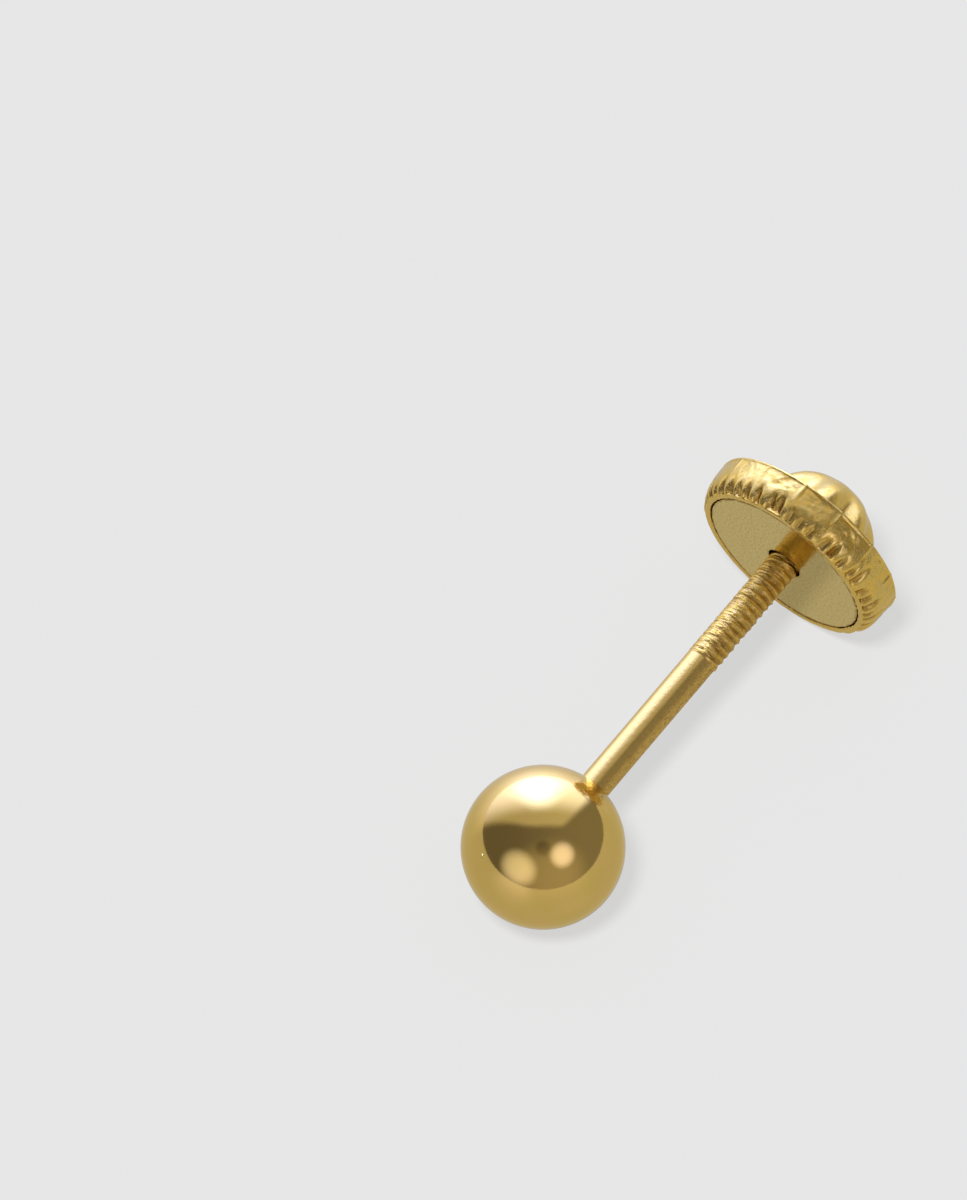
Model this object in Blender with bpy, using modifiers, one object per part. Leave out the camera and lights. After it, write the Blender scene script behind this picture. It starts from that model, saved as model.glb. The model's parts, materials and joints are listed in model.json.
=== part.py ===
"""A plain ball stud earring with a screw-on nut, lying as it rests by itself.

Each piece is turned about its own Z axis, which is the post's axis: the ball's centre is at the
origin and the nut is above it. The empty "earring_at_rest" then lays all three pieces down on the
ball and on one flat of the nut's rim. Lengths are in metres and +Z is up.
"""

import math

import bmesh
import bpy
from mathutils import Vector

# Ball and post
BALL_DIAMETER = 0.0040
POST_DIAMETER = 0.00079
POST_LENGTH = 0.0090  # from the ball's surface to the post's end
POST_ROOT = 0.0006  # how deep the post sits in the ball
POST_END_CHAMFER = 0.00012
SOLDER_WIDTH = 0.000075  # how far the solder stands out round the post's foot
SOLDER_HEIGHT = 0.00010

# Thread on the far part of the post
THREAD_RISE = 0.000025  # of its crest above the plain part of the post
THREAD_PITCH = 0.000225
THREAD_DEPTH = 0.00005
THREAD_LENGTH = 0.0047  # back from the post's end

# Nut: a pressed cap that holds a plate with a collar
POST_PAST_FACE = 0.0014  # how far the post reaches past the plate's face, inside the nut
CAP_WALL = 0.00018
RIM_DIAMETER = 0.0053  # across the ridges of the rim
RIM_DEPTH = 0.0010  # from the plate's face to the rim's back corner
LIP_FLAT = 0.00011  # the lip's flat front, from its edge out to where it rounds over
LIP_ROUND_WIDTH = 0.00027
LIP_ROUND_SHARE = 0.6  # of the rim's depth, along the post
LIP_STAND = 0.00002  # how far the lip stands in front of the plate's face
BACK_ROUNDING = 0.00010
SHOULDER_RISE = 0.00010
DOME_DIAMETER = 0.00344
DOME_HEIGHT = 0.00138
LOBE_DEPTH = 0.00006
LIP_GAP = 0.00004  # between the plate's face and the lip round it
FLANGE_CLEARANCE = 0.00004  # between the plate's hidden flange and the cap
FLANGE_THICKNESS = 0.00020
COLLAR_WALL = 0.00030
COLLAR_LENGTH = 0.00065  # behind the flange
BORE_CLEARANCE = 0.000035  # between the thread and the collar's bore, on the radius

# Counts
RIM_FLATS = 15
DOME_LOBES = 10
STEPS_PER_FLAT = 4
BALL_SEGMENTS = 32
BALL_RINGS = 16
POST_STEPS = 16
PLATE_STEPS = 48
RINGS_PER_PITCH = 4
FILLET_STEPS = 3
LIP_ARC_STEPS = 4
BACK_ARC_STEPS = 2
DOME_ARC_STEPS = 8
SHARP_ANGLE = math.radians(35)
MERGE_DISTANCE = 1e-7

# Values worked out from the sizes above
BALL_RADIUS = BALL_DIAMETER / 2
POST_RADIUS = POST_DIAMETER / 2
POST_END = BALL_RADIUS + POST_LENGTH
THREAD_RADIUS = POST_RADIUS + THREAD_RISE
THREAD_START = POST_END - THREAD_LENGTH
FACE_HEIGHT = POST_END - POST_PAST_FACE
BORE_RADIUS = THREAD_RADIUS + BORE_CLEARANCE
RIM_RADIUS = RIM_DIAMETER / 2
RIM_FLAT_RADIUS = RIM_RADIUS * math.cos(math.pi / RIM_FLATS)
LIP_RADIUS = RIM_RADIUS - LIP_ROUND_WIDTH - LIP_FLAT
LIP_ROUND_DEPTH = LIP_ROUND_SHARE * RIM_DEPTH
PLATE_RADIUS = LIP_RADIUS - LIP_GAP
DOME_RADIUS = DOME_DIAMETER / 2
DOME_BASE = RIM_DEPTH + SHOULDER_RISE
DOME_TOP = DOME_BASE + DOME_HEIGHT


def clear_scene():
    for obj in list(bpy.data.objects):
        bpy.data.objects.remove(obj)


def new_collection(name):
    collection = bpy.data.collections.new(name)
    bpy.context.scene.collection.children.link(collection)
    return collection


def metal(name, color, roughness):
    """A polished metal of one colour."""
    material = bpy.data.materials.new(name)
    material.use_nodes = True
    shader = material.node_tree.nodes["Principled BSDF"]
    shader.inputs["Base Color"].default_value = (*color, 1)
    shader.inputs["Metallic"].default_value = 1
    shader.inputs["Roughness"].default_value = roughness
    return material


def shade_round(mesh):
    mesh.shade_smooth()
    mesh.set_sharp_from_angle(angle=SHARP_ANGLE)


def turned(name, profile, steps, collection, closed=False):
    """An object made of (radius, height) points turned about Z by a Screw modifier.

    The points run from top to bottom on the outer side.
    """
    form = bmesh.new()
    verts = [form.verts.new((radius, 0, height)) for radius, height in profile]
    for upper, lower in zip(verts, verts[1:]):
        form.edges.new((upper, lower))
    if closed:
        form.edges.new((verts[-1], verts[0]))
    mesh = bpy.data.meshes.new(name)
    form.to_mesh(mesh)
    form.free()
    obj = bpy.data.objects.new(name, mesh)
    collection.objects.link(obj)
    screw = obj.modifiers.new("turn", "SCREW")
    screw.steps = steps
    screw.render_steps = steps
    screw.use_merge_vertices = True
    screw.merge_threshold = MERGE_DISTANCE
    return obj


def reshape(obj, new_radius):
    """Apply the modifiers, then move each vertex to the radius that new_radius gives it."""
    bpy.context.view_layer.update()
    evaluated = obj.evaluated_get(bpy.context.evaluated_depsgraph_get())
    mesh = bpy.data.meshes.new_from_object(evaluated)
    obj.modifiers.clear()
    obj.data = mesh
    for vert in mesh.vertices:
        radius = math.hypot(vert.co.x, vert.co.y)
        if radius < MERGE_DISTANCE:
            continue
        angle = math.atan2(vert.co.y, vert.co.x)
        share = new_radius(radius, angle, vert.co.z) / radius
        vert.co.x *= share
        vert.co.y *= share
    mesh.update()
    shade_round(mesh)


def smooth_step(value):
    value = min(max(value, 0), 1)
    return value * value * (3 - 2 * value)


def arc(centre, size, start, end, steps):
    """Points of an elliptical arc in (radius, height), from one angle to the other."""
    turns = [math.radians(start + (end - start) * step / steps) for step in range(steps + 1)]
    return [(centre[0] + size[0] * math.cos(t), centre[1] + size[1] * math.sin(t)) for t in turns]


def thread_radius(radius, angle, height):
    """The post's radius with a right-hand thread cut in its far part."""
    phase = (height - THREAD_START) / THREAD_PITCH - angle / (2 * math.pi)
    groove = THREAD_DEPTH * (0.5 + 0.5 * math.cos(2 * math.pi * phase))
    chamfer = max(0, height - (POST_END - POST_END_CHAMFER))
    threaded = THREAD_RADIUS - max(groove, chamfer)
    return radius + (threaded - radius) * smooth_step((height - THREAD_START) / THREAD_PITCH)


def post_profile():
    """The post with its solder and end, from its root inside the ball to its end."""
    foot_radius = POST_RADIUS + SOLDER_WIDTH
    foot_height = math.sqrt(BALL_RADIUS**2 - foot_radius**2)
    root = foot_height - POST_ROOT
    fillet = arc(
        (foot_radius, foot_height + SOLDER_HEIGHT), (SOLDER_WIDTH, SOLDER_HEIGHT), -90, -180, FILLET_STEPS
    )
    rings = math.ceil(THREAD_LENGTH / THREAD_PITCH * RINGS_PER_PITCH)
    thread = [(POST_RADIUS, THREAD_START + THREAD_LENGTH * ring / rings) for ring in range(rings + 1)]
    return [(0, root), (foot_radius, root), *fillet, *thread, (0, POST_END)]


def make_ball_and_post(collection, helpers):
    post = turned("post_blank", post_profile()[::-1], POST_STEPS, helpers)
    reshape(post, thread_radius)
    post.hide_render = True
    post.display_type = "WIRE"

    form = bmesh.new()
    bmesh.ops.create_uvsphere(form, u_segments=BALL_SEGMENTS, v_segments=BALL_RINGS, radius=BALL_RADIUS)
    mesh = bpy.data.meshes.new("ball_and_post")
    form.to_mesh(mesh)
    form.free()
    shade_round(mesh)
    ball = bpy.data.objects.new("ball_and_post", mesh)
    collection.objects.link(ball)
    solder = ball.modifiers.new("soldered_post", "BOOLEAN")
    solder.operation = "UNION"
    solder.solver = "EXACT"
    solder.object = post
    mesh.materials.append(metal("polished_gold", (0.83, 0.60, 0.26), 0.08))
    return ball, post


def plate_profile():
    """The plate's ring-shaped section: collar, flange, and the face that shows inside the lip."""
    flange_front = CAP_WALL - LIP_STAND + FLANGE_CLEARANCE
    flange_back = flange_front + FLANGE_THICKNESS
    collar_end = flange_back + COLLAR_LENGTH
    collar_radius = BORE_RADIUS + COLLAR_WALL
    flange_radius = (RIM_RADIUS - LIP_ROUND_WIDTH) * math.cos(math.pi / RIM_FLATS)
    return [
        (BORE_RADIUS, collar_end),
        (collar_radius, collar_end),
        (collar_radius, flange_back),
        (flange_radius, flange_back),
        (flange_radius, flange_front),
        (PLATE_RADIUS, flange_front),
        (PLATE_RADIUS, 0),
        (BORE_RADIUS, 0),
    ]


def make_nut_plate(collection):
    plate = turned("nut_plate", plate_profile(), PLATE_STEPS, collection, closed=True)
    shade_round(plate.data)
    plate.data.materials.append(metal("satin_gold", (0.74, 0.62, 0.34), 0.25))
    return plate


def dome_arc(inset):
    """The dome's points from its top to its base, on a sphere this far inside its outer one."""
    radius = (DOME_RADIUS**2 + DOME_HEIGHT**2) / (2 * DOME_HEIGHT)
    centre = DOME_TOP - radius
    base = math.degrees(math.asin((DOME_BASE - inset - centre) / (radius - inset)))
    return arc((0, centre), (radius - inset, radius - inset), 90, base, DOME_ARC_STEPS)


def cap_profile():
    """The cap's wall: down the dome, shoulder and rim to the lip, and back up inside."""
    rim_inside = RIM_RADIUS - CAP_WALL
    lip_inside = CAP_WALL - LIP_STAND
    lip_round = (LIP_ROUND_WIDTH, LIP_ROUND_DEPTH)
    lip_round_inside = [max(size - CAP_WALL, MERGE_DISTANCE) for size in lip_round]
    back_corner = arc(
        (RIM_RADIUS - BACK_ROUNDING, RIM_DEPTH - BACK_ROUNDING),
        (BACK_ROUNDING, BACK_ROUNDING),
        90,
        0,
        BACK_ARC_STEPS,
    )
    lip_corner = arc(
        (RIM_RADIUS - LIP_ROUND_WIDTH, LIP_ROUND_DEPTH - LIP_STAND),
        lip_round,
        0,
        -90,
        LIP_ARC_STEPS,
    )
    inner_corner = arc(
        (rim_inside - lip_round_inside[0], lip_inside + lip_round_inside[1]),
        lip_round_inside,
        -90,
        0,
        BACK_ARC_STEPS,
    )
    outside = [*dome_arc(0), *back_corner, *lip_corner, (LIP_RADIUS, -LIP_STAND)]
    inside = [(LIP_RADIUS, lip_inside), *inner_corner, (rim_inside, RIM_DEPTH - CAP_WALL)]
    return [*outside, *inside, *dome_arc(CAP_WALL)[::-1]]


def cap_radius(radius, angle, height):
    """The cap's radius with its rim pressed into flats and its dome into lobes.

    A flat faces along +X, which is down when the earring rests, and so does a lobe.
    """
    flat = 2 * math.pi / RIM_FLATS
    across = (angle + flat / 2) % flat - flat / 2
    flatness = RIM_FLAT_RADIUS / RIM_RADIUS / math.cos(across) - 1
    rim_share = (radius - LIP_RADIUS) / (RIM_RADIUS - CAP_WALL - LIP_RADIUS)
    rim = 1 + flatness * min(max(rim_share, 0), 1)
    if radius > DOME_RADIUS + MERGE_DISTANCE:
        return radius * rim
    climb = min(max((height - DOME_BASE) / DOME_HEIGHT, 0), 1)
    valley = 1 - abs(math.cos(angle * DOME_LOBES / 2))
    lobes = 1 - LOBE_DEPTH / DOME_RADIUS * valley * math.cos(math.pi / 2 * climb)
    return radius * rim * lobes


def make_nut_cap(collection):
    cap = turned("nut_cap", cap_profile(), RIM_FLATS * STEPS_PER_FLAT, collection)
    reshape(cap, cap_radius)
    cap.data.materials.append(metal("pressed_gold", (0.80, 0.60, 0.28), 0.15))
    return cap


def resting_tilt():
    """How far the post rises toward the nut when the ball and a flat of the rim touch the floor."""
    if RIM_FLAT_RADIUS > BALL_RADIUS:
        touching = FACE_HEIGHT + LIP_ROUND_DEPTH - LIP_STAND
    else:
        touching = FACE_HEIGHT + RIM_DEPTH - BACK_ROUNDING
    reach = math.hypot(RIM_FLAT_RADIUS, touching)
    return math.atan2(RIM_FLAT_RADIUS, touching) - math.asin(BALL_RADIUS / reach)


def lay_down(pieces, collection):
    """Parent the pieces to an empty that lays them on the floor, centred over the origin."""
    rest = bpy.data.objects.new("earring_at_rest", None)
    collection.objects.link(rest)
    rest.rotation_euler = (0, math.pi / 2 - resting_tilt(), 0)
    for piece in pieces:
        piece.parent = rest
    bpy.context.view_layer.update()
    graph = bpy.context.evaluated_depsgraph_get()
    corners = []
    for piece in pieces:
        evaluated = piece.evaluated_get(graph)
        corners += [evaluated.matrix_world @ vert.co for vert in evaluated.data.vertices]
    low = Vector([min(corner[axis] for corner in corners) for axis in range(3)])
    high = Vector([max(corner[axis] for corner in corners) for axis in range(3)])
    rest.location = (-(low.x + high.x) / 2, -(low.y + high.y) / 2, -low.z)


def main():
    clear_scene()
    earring = new_collection("ball_stud_earring")
    helpers = new_collection("helpers")
    ball, post = make_ball_and_post(earring, helpers)
    plate = make_nut_plate(earring)
    cap = make_nut_cap(earring)
    for piece in (plate, cap):
        piece.location.z = FACE_HEIGHT
    lay_down([ball, post, plate, cap], earring)
    bpy.context.view_layer.update()


main()
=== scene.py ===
"""A plain ball stud earring with its screw-on nut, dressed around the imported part.

Forms are worked in millimetres round the post's own axis: the ball's centre is at the origin, Z
runs along the post toward the nut and X points at the floor. place_in_frame then scales each one
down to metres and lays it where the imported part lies.
"""

import json
import math
import random

import bmesh
import bpy
from bpy.props import FloatProperty, FloatVectorProperty, IntProperty, PointerProperty
from mathutils import Matrix, Vector, noise


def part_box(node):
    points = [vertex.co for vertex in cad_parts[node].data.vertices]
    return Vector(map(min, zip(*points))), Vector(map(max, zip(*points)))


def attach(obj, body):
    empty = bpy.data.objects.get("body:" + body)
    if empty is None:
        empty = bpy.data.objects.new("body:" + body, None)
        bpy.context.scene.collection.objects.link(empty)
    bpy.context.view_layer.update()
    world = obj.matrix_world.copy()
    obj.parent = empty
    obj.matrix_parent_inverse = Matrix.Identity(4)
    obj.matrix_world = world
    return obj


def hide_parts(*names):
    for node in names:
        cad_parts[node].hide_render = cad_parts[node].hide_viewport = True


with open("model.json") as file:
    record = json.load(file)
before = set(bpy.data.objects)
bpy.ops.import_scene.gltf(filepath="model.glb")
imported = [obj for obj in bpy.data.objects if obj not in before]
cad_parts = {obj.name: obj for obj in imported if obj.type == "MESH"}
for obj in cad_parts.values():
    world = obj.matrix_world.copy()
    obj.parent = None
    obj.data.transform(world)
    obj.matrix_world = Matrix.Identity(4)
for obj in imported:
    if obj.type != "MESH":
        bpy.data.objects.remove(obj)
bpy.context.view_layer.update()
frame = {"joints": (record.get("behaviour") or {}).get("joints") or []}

bl_info = {
    "name": "Ball stud earring",
    "version": (1, 0, 0),
    "blender": (4, 5, 0),
    "location": "3D View > Sidebar > Earring",
    "description": "Models a gold ball stud and its crimped screw-on nut around the packed part",
    "category": "Object",
}

MM = 1000  # millimetres in a metre
BALL_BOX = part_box("ball_and_post")
NUT_TURN = next(joint for joint in frame["joints"] if joint["name"] == "nut_turn")

# Places along the post, from the ball's centre, in millimetres
POST_ROOT = 1.60
THREAD_START = 6.30
POST_END = 11.0
FACE_HEIGHT = 9.60

# The thread's finish, in millimetres
THREAD_LEAD = 0.3  # finely divided plain post before the thread
END_TAPER = 0.12
FIBRE_HEIGHT = 0.014
FINE_FIBRE_HEIGHT = 0.009
TEAR_HEIGHT = 0.004
SCAR_DEPTH = 0.030
SPECK_DEPTH = 0.004

# The nut's section, from the plate's face, in millimetres
COLLAR_WALL = 0.29
COLLAR_END = 1.05
FLANGE_RADIUS = 2.328
FLANGE_FRONT = 0.20
FLANGE_BACK = 0.40
PLATE_CLEARANCE = 0.04
PLATE_ROUNDING = 0.022
LIP_CENTRE = (2.38, 0.58)
LIP_SIZE = (0.27, 0.60)
LIP_EDGE = 2.27
RIM_INSIDE = 2.47
DOME_BASE = 1.10
DOME_WALL = 0.18
LOBE_TURN = math.radians(300)

# The rim's finish, in millimetres
BEAD_HEIGHT = 0.026
BEAD_WIDTH = 0.040
HOLLOW_DEPTH = 0.013

# How finely each piece is divided
BALL_STEPS = (192, 96)
POST_STEPS = 72
RINGS_A_PITCH = 16
SOLDER_STEPS = 220
PLATE_STEPS = 144
STEPS_A_FLAT = 36
DOME_CURVE_STEPS = 36
CREASE = math.radians(40)

# Angles round the post, from the side that faces the floor
# The worn side is also the side away from the light, where the post's colour gets painted shade
WORN_AND_SHADED_SIDE = math.radians(289)
NEAR_SIDE = math.radians(199)
SMOOTH_SIDE = math.radians(120)

# A small nick on the ball, in millimetres from its centre
NICK = (-1.159, 0.658, -1.491)

# The middle of the uneven, rippled patch on the ball beside the post, with an orange-brown painted
# reflection on it
RIPPLED_REFLECTION_PATCH = (-1.2155, -0.4186, 1.532)

# How far each bump map stands up, in metres
BALL_BUMP = 0.0000015
POST_BUMP = 0.000018
SOLDER_BUMP = 0.00003
PLATE_BUMP = 0.000004
CAP_BUMP = 0.00001

# The light that comes from every side, and what the floor and the camera see in its place
ROOM_LIGHT = (0.15, 0.14, 0.16)
FLOOR_LIGHT = 0.5
BACKDROP = 0.8
FLOOR_SHEEN = 0.45
FLOOR_GLOW_MIRRORED = 0.46
FLOOR_GLOW_SEEN = 0.763
LAMP_RIGHT = -0.17
LAMP_FORWARD = -0.29

CAMERA_AZIMUTH = math.radians(-52.08)
CAMERA_ELEVATION = math.radians(60.81)
CAMERA_DISTANCE = 0.39933
CAMERA_LENS = 495
AIM_RIGHT = -0.00144105
AIM_UP = 0.00598104


class EarringSizes(bpy.types.PropertyGroup):
    ball_diameter: FloatProperty(
        name="Ball diameter",
        description="Across the polished ball",
        default=round(BALL_BOX[1].y - BALL_BOX[0].y, 6),
        precision=5,
        unit="LENGTH",
    )
    post_diameter: FloatProperty(
        name="Post diameter",
        description="Across the plain part of the post",
        default=0.00079,
        precision=5,
        unit="LENGTH",
    )
    thread_rise: FloatProperty(
        name="Thread rise",
        description="How far the thread's crests stand above the plain part of the post",
        default=0.00003,
        precision=5,
        unit="LENGTH",
    )
    thread_depth: FloatProperty(
        name="Thread depth",
        description="From the thread's crests to its grooves",
        default=0.00005,
        precision=5,
        unit="LENGTH",
    )
    thread_pitch: FloatProperty(
        name="Thread pitch",
        description="From one crest of the thread to the next",
        default=0.000225,
        precision=6,
        unit="LENGTH",
    )
    solder_width: FloatProperty(
        name="Solder width",
        description="How far the solder spreads over the ball from the post",
        default=0.00015,
        precision=5,
        unit="LENGTH",
    )
    rim_diameter: FloatProperty(
        name="Rim diameter",
        description="Across the ridges of the nut's rim",
        default=0.0053,
        precision=5,
        unit="LENGTH",
    )
    dome_diameter: FloatProperty(
        name="Dome diameter",
        description="Across the foot of the nut's dome",
        default=0.00344,
        precision=5,
        unit="LENGTH",
    )
    dome_height: FloatProperty(
        name="Dome height",
        description="From the foot of the nut's dome to its top",
        default=0.00138,
        precision=5,
        unit="LENGTH",
    )
    lobe_depth: FloatProperty(
        name="Lobe depth",
        description="How deep the valleys between the dome's lobes are at its foot",
        default=0.00022,
        precision=5,
        unit="LENGTH",
    )
    dent_depth: FloatProperty(
        name="Dent depth",
        description="How deep the crimping tool's dents are, on average",
        default=0.0001,
        precision=6,
        unit="LENGTH",
    )
    bore_diameter: FloatProperty(
        name="Hole diameter",
        description="Across the hole in the nut's plate",
        default=0.00094,
        precision=5,
        unit="LENGTH",
    )
    rim_flats: IntProperty(name="Rim flats", description="Flats pressed round the rim", default=15)
    dome_lobes: IntProperty(name="Dome lobes", description="Lobes round the dome", default=8)
    dents: IntProperty(
        name="Dents", description="Dents of the crimping tool round the lip", default=47
    )


class EarringColours(bpy.types.PropertyGroup):
    polished: FloatVectorProperty(
        name="Polished gold",
        description="The ball and the plain part of the post",
        subtype="COLOR",
        default=(0.80, 0.54, 0.155),
    )
    olive: FloatVectorProperty(
        name="Olive gold",
        description="The cooler patches of the polished gold",
        subtype="COLOR",
        default=(0.77, 0.54, 0.14),
    )
    thread: FloatVectorProperty(
        name="Thread gold",
        description="The rolled thread, which is redder than the polished gold",
        subtype="COLOR",
        default=(0.80, 0.53, 0.08),
    )
    # Dark brown for grime and dark patches, and also for painted shade in grooves, dents, hollows
    # and gaps
    grime_and_painted_shade: FloatVectorProperty(
        name="Grime",
        description="What has settled in grooves and dents",
        subtype="COLOR",
        default=(0.36, 0.19, 0.035),
    )
    # The solder colour also tints the ball's painted reflection and the post's painted shade
    solder: FloatVectorProperty(
        name="Solder",
        description="The orange-brown solder round the post's foot",
        subtype="COLOR",
        default=(0.72, 0.44, 0.09),
    )
    plate: FloatVectorProperty(
        name="Plate gold",
        description="The pale olive plate of the nut",
        subtype="COLOR",
        default=(0.76, 0.615, 0.26),
    )
    pressed: FloatVectorProperty(
        name="Pressed gold",
        description="The nut's cap",
        subtype="COLOR",
        default=(0.85, 0.56, 0.11),
    )
    floor: FloatVectorProperty(
        name="Floor",
        description="The pale floor as it is lit",
        subtype="COLOR",
        default=(0.80, 0.80, 0.80),
    )


class EarringLight(bpy.types.PropertyGroup):
    softbox: FloatProperty(
        name="Softbox strength",
        description="Brightness of the large soft light behind the earring",
        default=1.0,
        min=0,
    )
    sun: FloatProperty(
        name="Shadow light strength",
        description="Brightness of the overhead light that casts the soft shadow",
        default=4.5,
        min=0,
    )
    sun_size: FloatProperty(
        name="Shadow light size",
        description="How wide the overhead light looks from the floor",
        default=math.radians(12),
        subtype="ANGLE",
    )


# Forms


def place_in_frame(form):
    """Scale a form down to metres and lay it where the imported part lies."""
    axis = Vector(NUT_TURN["axis"]).normalized()
    side = Vector((0, 1, 0))
    turn = Matrix((side.cross(axis), side, axis)).transposed().to_4x4()
    centre = Vector(NUT_TURN["pos_m"]) - axis * (FACE_HEIGHT / MM)
    matrix = Matrix.Translation(centre) @ turn @ Matrix.Scale(1 / MM, 4)
    bmesh.ops.transform(form, matrix=matrix, verts=form.verts)


def turned(section, steps, closed=False):
    """A form spun round Z from (radius, height) points, and each vertex's place in the section."""
    form = bmesh.new()
    place = form.verts.layers.float.new("section_place")
    verts = []
    for number, (radius, height) in enumerate(section):
        vert = form.verts.new((radius, 0, height))
        vert[place] = number
        verts.append(vert)
    edges = [form.edges.new(pair) for pair in zip(verts, verts[1:])]
    if closed:
        edges.append(form.edges.new((verts[-1], verts[0])))
    bmesh.ops.spin(
        form,
        geom=verts + edges,
        cent=(0, 0, 0),
        axis=(0, 0, 1),
        dvec=(0, 0, 0),
        angle=2 * math.pi,
        steps=steps,
        use_merge=True,
        use_normal_flip=False,
        use_duplicate=False,
    )
    bmesh.ops.remove_doubles(form, verts=form.verts, dist=1e-5)
    bmesh.ops.recalc_face_normals(form, faces=form.faces)
    return form


def arc(centre, size, start, end, steps):
    """Points of an elliptical arc in (radius, height), from one angle to the other, in degrees."""
    turns = [math.radians(start + (end - start) * step / steps) for step in range(steps + 1)]
    return [(centre[0] + size[0] * math.cos(t), centre[1] + size[1] * math.sin(t)) for t in turns]


def line(start, end, steps):
    """Points of a straight line in (radius, height), without its last point."""
    across, up = end[0] - start[0], end[1] - start[1]
    return [
        (start[0] + across * step / steps, start[1] + up * step / steps) for step in range(steps)
    ]


def smooth_step(value, low=0.0, high=1.0):
    """A smooth rise from 0 at low to 1 at high."""
    share = min(max((value - low) / (high - low), 0), 1)
    return share * share * (3 - 2 * share)


def rough(point, scale, seed=0.0):
    """Smooth noise from about -1 to 1, with bumps about 1/scale millimetres wide."""
    return noise.noise(Vector(point) * scale + Vector((seed, seed * 1.7, -seed)))


def angle_between(angle, other):
    """The signed angle from other to angle, from -pi to pi."""
    return (angle - other + math.pi) % (2 * math.pi) - math.pi


def finished_piece(form, name, material):
    """Turn a form into an object with its place in its mesh."""
    place_in_frame(form)
    mesh = bpy.data.meshes.new(name)
    form.to_mesh(mesh)
    form.free()
    mesh.shade_smooth()
    mesh.set_sharp_from_angle(angle=CREASE)
    mesh.materials.append(material)
    piece = bpy.data.objects.new(name, mesh)
    bpy.context.scene.collection.objects.link(piece)
    return piece


def threaded_radius(sizes, angle, height):
    """The post's radius and how deep in a groove it is, which its colour turns into painted shade,
    at one angle and height.
    """
    plain = sizes.post_diameter * MM / 2
    rise = sizes.thread_rise * MM
    depth = sizes.thread_depth * MM
    pitch = sizes.thread_pitch * MM
    x, y = math.cos(angle), math.sin(angle)
    worn_and_shaded = 0.5 + 0.5 * math.cos(angle_between(angle, WORN_AND_SHADED_SIDE))

    # Ridges that wander a little and bite deeper on the worn side
    wobble = rough((x * 0.42, y * 0.42, height), 3.0, 4.0)
    turn = (height - THREAD_START) / pitch - angle / (2 * math.pi) + 0.16 * wobble
    crest = 1 - abs(2 * (turn % 1) - 1)
    groove = 1 - crest ** (0.6 + 0.7 * worn_and_shaded)
    bite = 0.20 + 0.65 * worn_and_shaded + (0.15 + 0.35 * worn_and_shaded) * rough((x, y, height), 3.4, 7.0)
    threaded = plain + rise * (0.25 + 0.9 * worn_and_shaded) - depth * groove * max(bite, 0.15)

    # Fibres and tears that rolling leaves along the ridges
    twist = height - angle * pitch / (2 * math.pi)
    fibres = rough((x * 0.9, y * 0.9, twist * 17), 1.0, 11.0)
    fine = rough((x * 2.2, y * 2.2, twist * 34), 1.0, 17.0)
    tear = rough((x * 0.42, y * 0.42, height * 1.8), 8.0, 23.0)
    threaded += FIBRE_HEIGHT * fibres + FINE_FIBRE_HEIGHT * fine + TEAR_HEIGHT * tear * (0.5 + crest)
    start = THREAD_START + 0.05 * rough((x, y, 0), 2.5, 3.0)
    share = smooth_step(height, start - 0.015, start + 0.035)

    # The plain part, with a scar that runs back from the thread on its worn side
    scar_side = WORN_AND_SHADED_SIDE - 0.62 + 0.10 * rough((0, 0, height), 3.0, 5.0)
    scar = math.exp(-((angle_between(angle, scar_side) / 0.17) ** 2))
    scar *= smooth_step(height, 4.2, 6.2) * (0.35 + 0.65 * abs(rough((x, y, height), 9.0, 8.0)))
    smooth = plain + 0.0015 * rough((x, y, height * 0.2), 2.0, 1.0) - SCAR_DEPTH * scar
    smooth -= SPECK_DEPTH * max(0, rough((x * 1.2, y * 1.2, height), 6.0, 31.0)) * worn_and_shaded

    end = END_TAPER * smooth_step(height, POST_END - END_TAPER, POST_END)
    radius = smooth + (threaded - smooth) * share - end
    # The colour paints shade by this: in the thread's grooves and between its fibres, more on the
    # side in shade, and in the scar
    hollow = min(groove * (0.5 + 0.5 * worn_and_shaded) + max(-fibres - 0.08, 0) * 1.8, 1) * share
    return radius, min(max(hollow + scar * (1 - share), 0), 1)


def threaded_post(sizes):
    """The post: its plain part, its rolled thread, and the scar that the rolling left behind it."""
    radius = sizes.post_diameter * MM / 2
    ring = sizes.thread_pitch * MM / RINGS_A_PITCH
    lead = THREAD_START - THREAD_LEAD
    plain = line((radius, POST_ROOT), (radius, lead), 90)
    steps = round((POST_END - THREAD_START + THREAD_LEAD) / ring)
    thread = line((radius, lead), (radius, POST_END), steps) + [(radius, POST_END)]
    form = turned([(0, POST_ROOT), *plain, *thread, (0, POST_END)], POST_STEPS)
    groove = form.verts.layers.float.new("groove")
    for vert in form.verts:
        if math.hypot(vert.co.x, vert.co.y) < radius / 2:
            continue
        angle = math.atan2(vert.co.y, vert.co.x)
        new_radius, vert[groove] = threaded_radius(sizes, angle, vert.co.z)
        vert.co.x = new_radius * math.cos(angle)
        vert.co.y = new_radius * math.sin(angle)
    return form


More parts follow.
